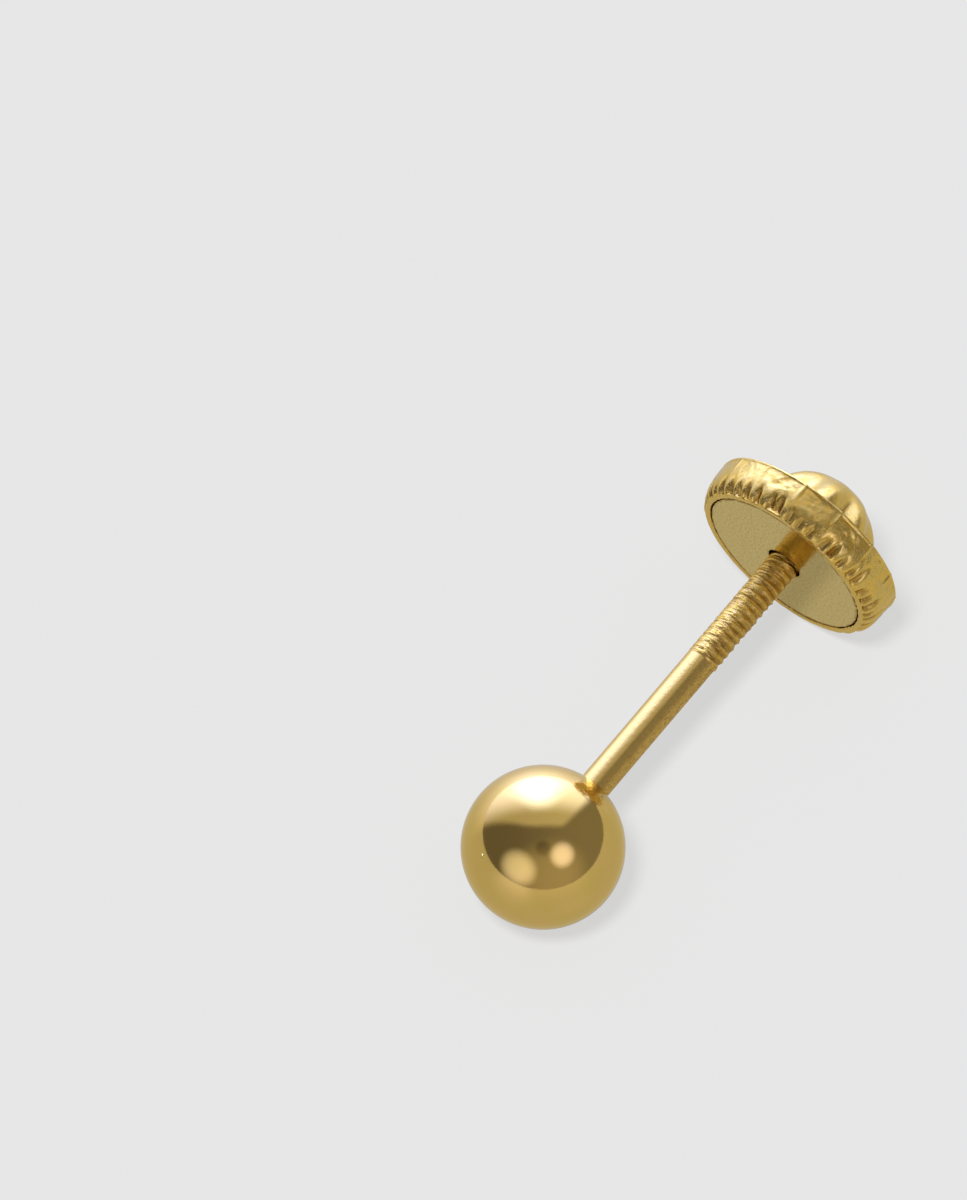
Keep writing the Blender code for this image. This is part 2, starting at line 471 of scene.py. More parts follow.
def solder_ring(sizes):
    """The thin uneven skirt of solder between the ball and the post."""
    ball = sizes.ball_diameter * MM / 2
    inner = sizes.post_diameter * MM / 2 - 0.004
    width = sizes.solder_width * MM
    sunk = ball - 0.15
    steps = 20
    shares = [step / steps for step in range(steps + 1)]
    section = [(inner + width * share, ball + 1 - share) for share in shares]
    section += [(inner + width - 0.03, sunk), (inner - 0.02, sunk)]
    form = turned(section, SOLDER_STEPS, closed=True)
    for vert in form.verts:
        if vert.co.z < ball - 0.1:
            continue
        angle = math.atan2(vert.co.y, vert.co.x)
        place = (math.cos(angle), math.sin(angle), 0)
        share = (math.hypot(vert.co.x, vert.co.y) - inner) / width
        spikes = max(0, rough(place, 5.5, 2.0)) * 0.10 + max(0, rough(place, 13.0, 6.0)) * 0.05
        near = (0.5 + 0.5 * math.cos(angle_between(angle, NEAR_SIDE))) ** 2
        reach = width * (0.6 + 0.5 * near + 0.4 * rough(place, 1.6, 9.0)) + spikes
        radius = inner + reach * share
        climb = 0.02 + 0.03 * max(0, rough(place, 6.0, 3.0))
        lift = climb * (1 - share) ** 3.0 + 0.012 * (1 - share)
        lumps = rough((radius * place[0], radius * place[1], 0), 15.0, 5.0)
        lift += 0.012 * lumps * share * (1 - share) * 4
        surface = math.sqrt(ball * ball - radius * radius)
        vert.co = (radius * place[0], radius * place[1], surface + lift + 0.001)
    return form


def plate_form(sizes):
    """The flat plate with its hole and the collar behind it, with its edges a little rounded."""
    bore = sizes.bore_diameter * MM / 2
    collar = bore + COLLAR_WALL
    face = LIP_EDGE - PLATE_CLEARANCE
    section = [
        (bore, COLLAR_END),
        (collar, COLLAR_END),
        (collar, FLANGE_BACK),
        (FLANGE_RADIUS, FLANGE_BACK),
        (FLANGE_RADIUS, FLANGE_FRONT),
        (face, FLANGE_FRONT),
        (face, 0),
        (face - 0.03, 0),
        (face - 0.07, 0),
        (bore + 0.15, 0),
        (bore + 0.10, 0),
        (bore + 0.06, 0),
        (bore, 0),
    ]
    form = turned(section, PLATE_STEPS, closed=True)
    sharp = [edge for edge in form.edges if edge.calc_face_angle(0) > math.radians(60)]
    bmesh.ops.bevel(
        form,
        geom=sharp,
        offset=PLATE_ROUNDING,
        offset_type="OFFSET",
        segments=3,
        profile=0.5,
        affect="EDGES",
        material=-1,
    )
    groove = form.verts.layers.float.new("groove")
    for vert in form.verts:
        radius = math.hypot(vert.co.x, vert.co.y)
        near_hole = 1 - smooth_step(radius, bore, bore + 0.10)
        # Painted shade: darker round the hole, and in patches along the gap between the plate's edge
        # and the lip
        patchy = smooth_step(rough((vert.co.x, vert.co.y, 0), 7.0, 2.0), -0.4, 0.1)
        settled = smooth_step(radius, face - 0.065, face - 0.025) * patchy
        vert[groove] = max(0.6 * near_hole, settled)
        if vert.co.z < 0.05 and near_hole > 0:
            angle = math.atan2(vert.co.y, vert.co.x)
            burr = 0.5 + rough((math.cos(angle), math.sin(angle), 0), 4.0)
            vert.co.z -= 0.012 * near_hole * burr
    bmesh.ops.translate(form, vec=(0, 0, FACE_HEIGHT), verts=form.verts)
    return form


def cap_section(sizes):
    """The cap's wall from the top of its dome, down its outside to the lip, and back up inside."""
    dome_radius = sizes.dome_diameter * MM / 2
    dome_height = sizes.dome_height * MM
    top = DOME_BASE + dome_height
    curve = (dome_radius**2 + dome_height**2) / (2 * dome_height)
    centre = top - curve
    base = math.degrees(math.asin((DOME_BASE - centre) / curve))
    rim = sizes.rim_diameter * MM / 2
    dome = arc((0, centre), (curve, curve), 90, base, DOME_CURVE_STEPS)
    shoulder = line((dome_radius + 0.035, 1.082), (rim - 0.07, 1.0), 12)
    corner = [(rim - 0.075, 1.002), (rim - 0.05, 1.018), (rim - 0.02, 1.024)]
    corner += [(rim - 0.002, 1.008), (rim, 0.98)]
    side = line((rim, 0.965), (rim, LIP_CENTRE[1]), 20)
    lip = arc(LIP_CENTRE, LIP_SIZE, 0, -90, 44)
    lip_edge = [(2.35, -0.02), (2.32, -0.02), (2.295, -0.018), (2.278, -0.006), (LIP_EDGE, 0.015)]
    outside = [*dome, *shoulder, *corner, *side, *lip, *lip_edge]
    inside = [(LIP_EDGE, 0.16), (2.40, 0.17), (RIM_INSIDE, 0.45), (RIM_INSIDE, 0.82), (1.9, 0.90)]
    inner_curve = curve - DOME_WALL
    inner_base = math.degrees(math.asin((DOME_BASE - DOME_WALL - centre) / inner_curve))
    inside += arc((0, centre), (inner_curve, inner_curve), inner_base, 90, 10)
    return outside, inside


def crimping_dents(sizes):
    """The crimping tool's dents: each one's angle, width, depth, and start and end along the lip."""
    draw = random.Random(7)
    spacing = 2 * math.pi / sizes.dents
    dents = []
    for number in range(sizes.dents):
        dents.append(
            (
                (number + draw.uniform(-0.20, 0.20)) * spacing,
                spacing * draw.uniform(0.24, 0.36),
                sizes.dent_depth * MM * draw.uniform(0.7, 1.35),
                math.radians(draw.uniform(1, 7)),
                math.radians(draw.uniform(72, 100)),
            )
        )
    return dents


def dent_at(dents, angle, along):
    """How deep the dents are at one angle and this far along the lip's curve from its front."""
    spacing = 2 * math.pi / len(dents)
    nearest = round(angle / spacing)
    depth = 0
    for number in range(nearest - 2, nearest + 3):
        place, width, dent_depth, start, reach = dents[number % len(dents)]
        across = angle_between(angle, place) / (width * (1 - 0.25 * along))
        fade = smooth_step(along, start, start + 0.25)
        fade *= 1 - smooth_step(along, reach - 0.85, reach)
        depth += dent_depth * math.exp(-across * across) * fade
    return depth


def rim_push(sizes, angle, across, spot, height):
    """How far the rim's side stands out of its turned form, and how much painted shade its hollow
    gets, in patches.
    """
    flat = 2 * math.pi / sizes.rim_flats
    to_ridge = (flat / 2 - abs(across)) * sizes.rim_diameter * MM / 2
    to_ridge += 0.02 * rough(spot, 2.0, 9.0)
    pressed = 1 - 0.6 * math.exp(-((angle_between(angle, SMOOTH_SIDE) / 0.55) ** 2))
    side = smooth_step(height, 0.22, 0.6) * pressed
    back = smooth_step(1.0 - height, 0, 0.10)
    bead = math.exp(-((to_ridge / BEAD_WIDTH) ** 2)) * smooth_step(height, 0.40, 0.8) * pressed
    hollow = smooth_step(to_ridge, 0.0, 0.45) * side * back
    hammered = rough(spot, 2.6, 3.0) * 0.014 + rough(spot, 6.5, 6.0) * 0.011
    hammered += rough(spot, 13.0, 8.0) * 0.006
    bead += 0.6 * math.exp(-(((0.985 - height) / 0.03) ** 2)) * (1 - bead)
    push = BEAD_HEIGHT * bead - HOLLOW_DEPTH * hollow + hammered * (0.18 + 0.82 * hollow)
    # The second value paints shade into the flats' hollows
    return push, hollow * (0.12 + 0.7 * max(rough(spot, 3.5, 1.0), 0))


def crimped_cap(sizes):
    """The nut's cap: lobed dome, flats and ridges round the rim, and the crimped lip."""
    outside, inside = cap_section(sizes)
    form = turned(outside + inside, sizes.rim_flats * STEPS_A_FLAT)
    groove = form.verts.layers.float.new("groove")
    place = form.verts.layers.float["section_place"]
    dome_radius = sizes.dome_diameter * MM / 2
    flat = 2 * math.pi / sizes.rim_flats
    dents = crimping_dents(sizes)
    for vert in form.verts:
        radius = math.hypot(vert.co.x, vert.co.y)
        if radius < 1e-4:
            continue
        angle = math.atan2(vert.co.y, vert.co.x)
        height = vert.co.z
        outer = vert[place] < len(outside)
        across = (angle + flat / 2) % flat - flat / 2
        flatness = math.cos(flat / 2) / math.cos(across) - 1
        if outer:
            flatness *= 0.12
        rim_share = min(max((radius - LIP_EDGE) / (RIM_INSIDE - LIP_EDGE), 0), 1)
        spot = (math.cos(angle) * radius, math.sin(angle) * radius, height)
        push, depth = 0.0, 0.0
        new_radius = radius * (1 + flatness * rim_share)
        if outer and radius > dome_radius + 0.7 and height < 1.03:
            push, depth = rim_push(sizes, angle, across, spot, height)
        if outer and height < LIP_CENTRE[1] and radius > LIP_CENTRE[0] - 0.02:
            along = math.atan2(
                (radius - LIP_CENTRE[0]) / LIP_SIZE[0], (LIP_CENTRE[1] - height) / LIP_SIZE[1]
            )
            dent = dent_at(dents, angle, along)
            push -= dent
            # Painted shade in the crimping dents
            depth += min(dent / 0.06, 1)
        if outer and radius < LIP_CENTRE[0] and height < 0.1:
            torn = max(rough(spot, 9.0, 2.0), 0)
            new_radius -= 0.05 * smooth_step(LIP_CENTRE[0] - radius, 0.03, 0.10) * torn
        if outer and radius <= dome_radius + 0.04:
            climb = min(max((height - DOME_BASE) / (sizes.dome_height * MM), 0), 1)
            valley = (0.5 - 0.5 * math.cos(angle * sizes.dome_lobes + LOBE_TURN)) ** 1.1
            fade = math.cos(math.pi / 2 * climb**1.6)
            new_radius *= 1 - sizes.lobe_depth * MM / dome_radius * valley * fade
            new_radius += 0.010 * rough(spot, 1.6, 12.0) + 0.003 * rough(spot, 5.0, 4.0)
            # Painted shade in the valleys between the dome's lobes
            depth += 0.25 * valley * valley * fade
        direction = Vector((1, 0))
        if height < LIP_CENTRE[1]:
            direction = Vector(
                (
                    max(radius - LIP_CENTRE[0], 0) / LIP_SIZE[0] ** 2,
                    (height - LIP_CENTRE[1]) / LIP_SIZE[1] ** 2,
                )
            ).normalized()
        new_radius += push * direction.x
        vert.co = (
            new_radius * math.cos(angle),
            new_radius * math.sin(angle),
            height + push * direction.y,
        )
        vert[groove] = min(max(depth, 0), 1)
    bmesh.ops.translate(form, vec=(0, 0, FACE_HEIGHT), verts=form.verts)
    return form


# Shader nodes


def node(tree, kind, inputs=None, **settings):
    """Add a shader node, with its settings, and set or link its inputs."""
    made = tree.nodes.new("ShaderNode" + kind)
    for name, value in settings.items():
        setattr(made, name, value)
    for name, value in (inputs or {}).items():
        if isinstance(value, bpy.types.NodeSocket):
            tree.links.new(value, made.inputs[name])
        else:
            made.inputs[name].default_value = value
    return made


def calc(tree, operation, *values, clamp=False):
    """The output of a Math node."""
    made = node(tree, "Math", dict(enumerate(values)), operation=operation, use_clamp=clamp)
    return made.outputs[0]


def spread(tree, value, low, high, to_low=0.0, to_high=1.0, kind="SMOOTHSTEP"):
    """The output of a Map Range node."""
    made = node(
        tree,
        "MapRange",
        {
            "Value": value,
            "From Min": low,
            "From Max": high,
            "To Min": to_low,
            "To Max": to_high,
        },
        interpolation_type=kind,
    )
    return made.outputs["Result"]


def blended(tree, share, first, second):
    """The colour output of a Mix node."""
    made = tree.nodes.new("ShaderNodeMix")
    made.data_type = "RGBA"
    for number, value in ((0, share), (6, first), (7, second)):
        if isinstance(value, bpy.types.NodeSocket):
            tree.links.new(value, made.inputs[number])
        else:
            made.inputs[number].default_value = (*value, 1) if number else value
    return made.outputs[2]


def noise_at(tree, place, scale, detail=3.0, roughness=0.55):
    """The height output of a Noise node."""
    inputs = {"Vector": place, "Scale": scale, "Detail": detail, "Roughness": roughness}
    return node(tree, "TexNoise", inputs).outputs["Fac"]


def new_group(name, inputs, outputs):
    """A shader node group with these named sockets, and its two end nodes."""
    group = bpy.data.node_groups.new(name, "ShaderNodeTree")
    for socket, kind, default in inputs:
        made = group.interface.new_socket(
            name=socket, in_out="INPUT", socket_type="NodeSocket" + kind
        )
        if default is not None:
            made.default_value = default
    for socket, kind in outputs:
        group.interface.new_socket(
            name=socket, in_out="OUTPUT", socket_type="NodeSocket" + kind
        )
    return group, group.nodes.new("NodeGroupInput"), group.nodes.new("NodeGroupOutput")


def post_place_group():
    """Place in millimetres on the post's own axes, height along it, and how far it faces the side
    with wear, which is also the side in shade.
    """
    name = "Place Round Post"
    if name in bpy.data.node_groups:
        return bpy.data.node_groups[name]
    outputs = [("Place", "Vector"), ("Along", "Float"), ("Facing", "Float")]
    group, _, end = new_group(name, [], outputs)
    axis = Vector(NUT_TURN["axis"]).normalized()
    centre = Vector(NUT_TURN["pos_m"]) - axis * (FACE_HEIGHT / MM)
    tilt = math.asin(axis.z)
    coordinates = node(group, "TexCoord")
    mapping = node(
        group,
        "Mapping",
        {
            "Vector": coordinates.outputs["Object"],
            "Location": centre,
            "Rotation": (0, math.pi / 2 - tilt, 0),
            "Scale": (1 / MM, 1 / MM, 1 / MM),
        },
        vector_type="TEXTURE",
    )
    parts = node(group, "SeparateXYZ", {"Vector": mapping.outputs[0]})
    angle = calc(group, "ARCTAN2", parts.outputs["Y"], parts.outputs["X"])
    facing = calc(group, "COSINE", calc(group, "SUBTRACT", angle, WORN_AND_SHADED_SIDE))
    group.links.new(mapping.outputs[0], end.inputs["Place"])
    group.links.new(parts.outputs["Z"], end.inputs["Along"])
    group.links.new(facing, end.inputs["Facing"])
    return group


def handling_group():
    """Hairline scratches, and the haze that handling leaves on polished gold."""
    name = "Handling Marks"
    if name in bpy.data.node_groups:
        return bpy.data.node_groups[name]
    group, start, end = new_group(
        name,
        [("Place", "Vector", None), ("Scale", "Float", 1.0), ("Amount", "Float", 0.5)],
        [("Height", "Float"), ("Haze", "Float")],
    )
    place = start.outputs["Place"]
    scratches = None
    for turn, seed in (((0.4, 0.9, 0.2), 0.0), ((1.2, 0.1, 0.8), 13.0), ((0.1, 0.5, 2.1), 29.0)):
        turned_place = node(
            group,
            "Mapping",
            {
                "Vector": place,
                "Rotation": turn,
                "Location": (seed, seed, seed),
                "Scale": (1.0, 14.0, 14.0),
            },
        )
        scale = calc(group, "MULTIPLY", start.outputs["Scale"], 1.6)
        fibres = noise_at(group, turned_place.outputs[0], scale, 1.0, 0.4)
        lines = spread(group, fibres, 0.66, 0.72)
        scratches = lines if scratches is None else calc(group, "MAXIMUM", scratches, lines)
    haze = spread(group, noise_at(group, place, start.outputs["Scale"], 4.0, 0.6), 0.35, 0.75)
    height = calc(group, "MULTIPLY", scratches, start.outputs["Amount"])
    group.links.new(calc(group, "MULTIPLY", height, -1.0), end.inputs["Height"])
    group.links.new(haze, end.inputs["Haze"])
    return group


def grain_group():
    """The fine uneven skin of pressed and rolled gold."""
    name = "Metal Grain"
    if name in bpy.data.node_groups:
        return bpy.data.node_groups[name]
    group, start, end = new_group(
        name,
        [("Place", "Vector", None), ("Fine", "Float", 30.0), ("Coarse", "Float", 6.0)],
        [("Height", "Float"), ("Patches", "Float")],
    )
    fine = noise_at(group, start.outputs["Place"], start.outputs["Fine"], 4.0, 0.65)
    coarse = noise_at(group, start.outputs["Place"], start.outputs["Coarse"], 3.0, 0.5)
    fine_share = calc(group, "MULTIPLY", fine, 0.4)
    both = calc(group, "ADD", fine_share, calc(group, "MULTIPLY", coarse, 0.6))
    group.links.new(both, end.inputs["Height"])
    group.links.new(spread(group, coarse, 0.35, 0.65), end.inputs["Patches"])
    return group


def placed(tree, group, inputs=None):
    """Put a node group in a material's tree."""
    made = tree.nodes.new("ShaderNodeGroup")
    made.node_tree = group
    for name, value in (inputs or {}).items():
        if isinstance(value, bpy.types.NodeSocket):
            tree.links.new(value, made.inputs[name])
        else:
            made.inputs[name].default_value = value
    return made


def new_metal(name):
    """A metal material, and its tree, shader and place round the post."""
    material = bpy.data.materials.new(name)
    material.use_nodes = True
    tree = material.node_tree
    shader = tree.nodes["Principled BSDF"]
    shader.inputs["Metallic"].default_value = 1
    shader.inputs["Specular Tint"].default_value = (1, 0.95, 0.75, 1)
    place = placed(tree, post_place_group())
    return material, tree, shader, place


def bump(tree, shader, height, distance):
    """Feed a height to the shader's normal, with the distance that a height of 1 stands up."""
    made = node(tree, "Bump", {"Height": height, "Distance": distance, "Strength": 1.0})
    tree.links.new(made.outputs[0], shader.inputs["Normal"])


def groove_mask(tree):
    """How deep in a groove, dent or gap the surface is, which the form keeps at its vertices; the
    materials paint shade by it.
    """
    return node(tree, "Attribute", attribute_name="groove").outputs["Fac"]


def polished_ball_material(colours):
    """Mirror polish with a nick, and a rippled patch beside the solder with an orange-brown painted
    reflection.
    """
    material, tree, shader, place = new_metal("polished_gold_ball")
    marks = placed(
        tree, handling_group(), {"Place": place.outputs["Place"], "Scale": 0.9, "Amount": 0.6}
    )
    grain = placed(
        tree, grain_group(), {"Place": place.outputs["Place"], "Fine": 16.0, "Coarse": 1.3}
    )
    colour = blended(tree, grain.outputs["Patches"], tuple(colours.polished), tuple(colours.olive))
    to_patch = node(
        tree, "VectorMath", {0: place.outputs["Place"], 1: RIPPLED_REFLECTION_PATCH}, operation="DISTANCE"
    )
    rippled_patch = spread(tree, to_patch.outputs["Value"], 0.30, 0.62, 1.0, 0.0)
    ripples = calc(tree, "MULTIPLY", noise_at(tree, place.outputs["Place"], 5.0, 4.0, 0.6), rippled_patch)
    # Painted reflection: the rippled patch is tinted orange-brown, as if mirroring the thread and
    # the nut
    painted_reflection = calc(tree, "MULTIPLY", spread(tree, ripples, 0.50, 0.62), 0.45)
    colour = blended(tree, painted_reflection, colour, tuple(colours.solder))
    tree.links.new(colour, shader.inputs["Base Color"])
    roughness = spread(tree, marks.outputs["Haze"], 0, 1, 0.06, 0.10, "LINEAR")
    tree.links.new(roughness, shader.inputs["Roughness"])
    height = calc(tree, "MULTIPLY_ADD", marks.outputs["Height"], 0.2, grain.outputs["Height"])
    to_nick = node(tree, "VectorMath", {0: place.outputs["Place"], 1: NICK}, operation="DISTANCE")
    nick = spread(tree, to_nick.outputs["Value"], 0.005, 0.07, 60.0, 0.0)
    height = calc(tree, "MULTIPLY_ADD", ripples, 14.0, height)
    bump(tree, shader, calc(tree, "ADD", height, nick), BALL_BUMP)
    return material


def post_material(colours):
    """Drawn gold, rougher on its thread and on the side with wear, with painted shade: darker
    grooves, and a redder tint on that side, which is the side in shade.
    """
    material, tree, shader, place = new_metal("rolled_gold_post")
    along = place.outputs["Along"]
    threaded = spread(tree, along, THREAD_START - 0.05, THREAD_START + 0.05)
    drawn = node(
        tree, "Mapping", {"Vector": place.outputs["Place"], "Scale": (9.0, 9.0, 0.8)}
    )
    lines = noise_at(tree, drawn.outputs[0], 2.0, 4.0, 0.6)
    grain = placed(
        tree, grain_group(), {"Place": place.outputs["Place"], "Fine": 42.0, "Coarse": 11.0}
    )
    worn_and_shaded = spread(tree, place.outputs["Facing"], 0.2, 1.0)
    speckled = calc(tree, "MULTIPLY", worn_and_shaded, spread(tree, grain.outputs["Height"], 0.40, 0.60))
    uneven = calc(tree, "MAXIMUM", speckled, threaded, clamp=True)
    smooth_colour = blended(tree, lines, tuple(colours.polished), tuple(colours.olive))
    rolled = blended(tree, grain.outputs["Patches"], tuple(colours.thread), tuple(colours.polished))
    colour = blended(tree, uneven, smooth_colour, rolled)
    # Painted shade: the side away from the light is tinted redder and darker with the solder colour
    redder = spread(tree, place.outputs["Facing"], -0.3, 0.8, 0.0, 0.5)
    colour = blended(tree, redder, colour, tuple(colours.solder))
    flecks = noise_at(tree, place.outputs["Place"], 17.0, 2.0, 0.7)
    flecks = calc(tree, "MULTIPLY", spread(tree, flecks, 0.50, 0.62), worn_and_shaded)
    # Dark flecks on the side with wear, and painted shade in the thread's grooves
    dirt_and_painted_shade = calc(tree, "MAXIMUM", spread(tree, groove_mask(tree), 0.25, 0.9), flecks)
    dirt_and_painted_shade = calc(tree, "MULTIPLY", dirt_and_painted_shade, 0.75)
    colour = blended(tree, dirt_and_painted_shade, colour, tuple(colours.grime_and_painted_shade))
    tree.links.new(colour, shader.inputs["Base Color"])
    tree.links.new(spread(tree, uneven, 0, 1, 0.20, 0.27, "LINEAR"), shader.inputs["Roughness"])
    height = calc(tree, "ADD", calc(tree, "MULTIPLY", lines, 0.4), grain.outputs["Height"])
    height = calc(tree, "MULTIPLY", height, spread(tree, uneven, 0, 1, 0.30, 1.0, "LINEAR"))
    bump(tree, shader, height, POST_BUMP)
    return material


def solder_material(colours):
    """Grainy solder, darker in patches."""
    material, tree, shader, place = new_metal("orange_solder")
    grain = placed(
        tree, grain_group(), {"Place": place.outputs["Place"], "Fine": 34.0, "Coarse": 12.0}
    )
    colour = blended(tree, grain.outputs["Patches"], tuple(colours.solder), tuple(colours.grime_and_painted_shade))
    tree.links.new(colour, shader.inputs["Base Color"])
    roughness = spread(tree, grain.outputs["Height"], 0.3, 0.7, 0.22, 0.42)
    tree.links.new(roughness, shader.inputs["Roughness"])
    bump(tree, shader, grain.outputs["Height"], SOLDER_BUMP)
    return material


def plate_material(colours):
    """Fine satin with small dark specks, and painted shade round its hole and in patches round its
    edge, beside the lip.
    """
    material, tree, shader, place = new_metal("satin_gold_plate")
    marks = placed(
        tree, handling_group(), {"Place": place.outputs["Place"], "Scale": 1.6, "Amount": 0.4}
    )
    grain = placed(
        tree, grain_group(), {"Place": place.outputs["Place"], "Fine": 24.0, "Coarse": 15.0}
    )
    colour = blended(tree, grain.outputs["Patches"], tuple(colours.plate), tuple(colours.olive))
    colour = blended(tree, 0.55, tuple(colours.plate), colour)
    specks = calc(tree, "MULTIPLY", spread(tree, grain.outputs["Height"], 0.46, 0.56), 0.24)
    # Painted shade round the hole and along the gap at the plate's edge
    edge_and_hole_shade = calc(tree, "MULTIPLY", groove_mask(tree), 0.85)
    dirt_and_painted_shade = calc(tree, "MAXIMUM", specks, edge_and_hole_shade)
    colour = blended(tree, dirt_and_painted_shade, colour, tuple(colours.grime_and_painted_shade))
    tree.links.new(colour, shader.inputs["Base Color"])
    roughness = spread(tree, marks.outputs["Haze"], 0, 1, 0.11, 0.15, "LINEAR")
    tree.links.new(roughness, shader.inputs["Roughness"])
    height = calc(tree, "MULTIPLY_ADD", marks.outputs["Height"], 0.15, grain.outputs["Height"])
    bump(tree, shader, height, PLATE_BUMP)
    return material


def cap_material(colours):
    """Pressed gold, bright on its ridges, with painted shade and more roughness in its dents,
    hollows and dome valleys.
    """
    material, tree, shader, place = new_metal("pressed_gold_cap")
    marks = placed(
        tree, handling_group(), {"Place": place.outputs["Place"], "Scale": 1.8, "Amount": 0.5}
    )
    grain = placed(
        tree, grain_group(), {"Place": place.outputs["Place"], "Fine": 26.0, "Coarse": 4.5}
    )
    deep = spread(tree, groove_mask(tree), 0.25, 1.0)
    colour = blended(tree, grain.outputs["Patches"], tuple(colours.pressed), tuple(colours.olive))
    # Painted shade: darker brown in the dents, the flats' hollows and the dome's valleys
    colour = blended(tree, calc(tree, "MULTIPLY", deep, 0.5), colour, tuple(colours.grime_and_painted_shade))
    tree.links.new(colour, shader.inputs["Base Color"])
    haze = spread(tree, marks.outputs["Haze"], 0, 1, 0.13, 0.20, "LINEAR")
    roughness = calc(tree, "ADD", haze, calc(tree, "MULTIPLY", deep, 0.10))
    tree.links.new(roughness, shader.inputs["Roughness"])
    height = calc(tree, "ADD", marks.outputs["Height"], grain.outputs["Height"])
    bump(tree, shader, height, CAP_BUMP)
    return material


# Stage


def studio_world(strength):
    """Soft light by direction: a softbox behind the earring, a diffuser above and a dim room."""
    world = bpy.data.worlds.new("soft_studio")
    world.use_nodes = True
    tree = world.node_tree
    tree.nodes.clear()
    direction = node(tree, "TexCoord").outputs["Generated"]
    heading = node(tree, "Mapping", {"Vector": direction, "Rotation": (0, 0, -CAMERA_AZIMUTH)})
    parts = node(tree, "SeparateXYZ", {"Vector": heading.outputs[0]})
    right, forward, up = parts.outputs
    azimuth = calc(tree, "ARCTAN2", right, forward)
    elevation = calc(tree, "ARCSINE", up)

    def glow(centre, size, softness):
        """A soft-edged patch, with its centre and half its size in degrees."""
        masks = []
        spans = ((azimuth, centre[0], size[0]), (elevation, centre[1], size[1]))
        for value, middle, half in spans:
            offset = calc(tree, "ABSOLUTE", calc(tree, "SUBTRACT", value, math.radians(middle)))
            inner, outer = math.radians(half - softness), math.radians(half + softness)
            masks.append(spread(tree, offset, inner, outer, 1.0, 0.0))
        return calc(tree, "MULTIPLY", *masks)

    def round_glow(centre, size, softness):
        """A round soft-edged patch, with its centre and half its size in degrees."""
        across, over = (math.radians(value) for value in centre)
        flat = math.cos(over)
        middle = (flat * math.sin(across), flat * math.cos(across), math.sin(over))
        dot = node(tree, "VectorMath", {0: heading.outputs[0], 1: middle}, operation="DOT_PRODUCT")
        inner = math.cos(math.radians(size - softness))
        outer = math.cos(math.radians(size + softness))
        return spread(tree, dot.outputs["Value"], outer, inner)

    def sheet_edge(across, over):
        """How far a direction is past a straight edge of the sheet overhead."""
        edge = calc(tree, "MULTIPLY_ADD", right, across, forward)
        return calc(tree, "MULTIPLY_ADD", up, over, edge)

    left_side = spread(tree, sheet_edge(0.36, 0.13), -0.06, 0.15)
    right_side = spread(tree, sheet_edge(-1.15, 0.55), -0.10, 0.16)
    diffuser = calc(tree, "MULTIPLY", left_side, right_side)
    diffuser = calc(tree, "MULTIPLY", diffuser, spread(tree, sheet_edge(-0.06, 0.0), -0.08, 0.13))
    lift = calc(tree, "MULTIPLY", spread(tree, forward, 0.30, 0.90), diffuser)
    lights = [
        (spread(tree, right, -1, 1), (0.10, 0.10, 0.09)),
        (diffuser, (0.36, 0.36, 0.38)),
        (lift, (1.0, 1.2, 2.8)),
        (glow((-5, 28), (19, 25), 18), (1.6 * strength, 2.0 * strength, 5.6 * strength)),
        (round_glow((-143, 22), 16, 14), (0.68, 0.71, 1.05)),
        (round_glow((142, 43), 11, 10), (0.84, 0.85, 1.5)),
        (round_glow((170, 20), 32, 28), (0.20, 0.185, 0.15)),
        (round_glow((180, 60), 8, 6), (-0.12, -0.12, -0.11)),
    ]
    total = ROOM_LIGHT
    for mask, colour in lights:
        added = node(tree, "VectorMath", {0: mask, 1: colour, 2: total}, operation="MULTIPLY_ADD")
        total = added.outputs[0]
    # The gold mirrors the lights, while the floor is lit evenly and the camera sees a backdrop.
    light_path = node(tree, "LightPath")
    lighting = node(tree, "Background", {"Color": total})
    even = node(tree, "Background", {"Color": (FLOOR_LIGHT, FLOOR_LIGHT, FLOOR_LIGHT, 1)})
    seen = node(tree, "Background", {"Color": (BACKDROP, BACKDROP, BACKDROP, 1)})
    for kind, background in (("Is Diffuse Ray", even), ("Is Camera Ray", seen)):
        lighting = node(
            tree,
            "MixShader",
            {0: light_path.outputs[kind], 1: lighting.outputs[0], 2: background.outputs[0]},
        )
    node(tree, "OutputWorld", {"Surface": lighting.outputs[0]})
    world.cycles.sampling_method = "NONE"
    bpy.context.scene.world = world


def floor_material(colours):
    """A plain pale floor that is lit from below too, so that its shadows stay light."""
    material = bpy.data.materials.new("pale_floor")
    material.use_nodes = True
    tree = material.node_tree
    shader = tree.nodes["Principled BSDF"]
    shader.inputs["Base Color"].default_value = (0.1, 0.1, 0.1, 1)
    shader.inputs["Roughness"].default_value = 0.3
    shader.inputs["Emission Color"].default_value = (*colours.floor, 1)
    # The gold mirrors a floor with a sheen toward the softbox; the camera sees an even one.
    camera = node(tree, "LightPath").outputs["Is Camera Ray"]
    sheen = spread(tree, camera, 0, 1, FLOOR_SHEEN, 0, "LINEAR")
    tree.links.new(sheen, shader.inputs["Specular IOR Level"])
    glow = spread(tree, camera, 0, 1, FLOOR_GLOW_MIRRORED, FLOOR_GLOW_SEEN, "LINEAR")
    tree.links.new(glow, shader.inputs["Emission Strength"])
    return material


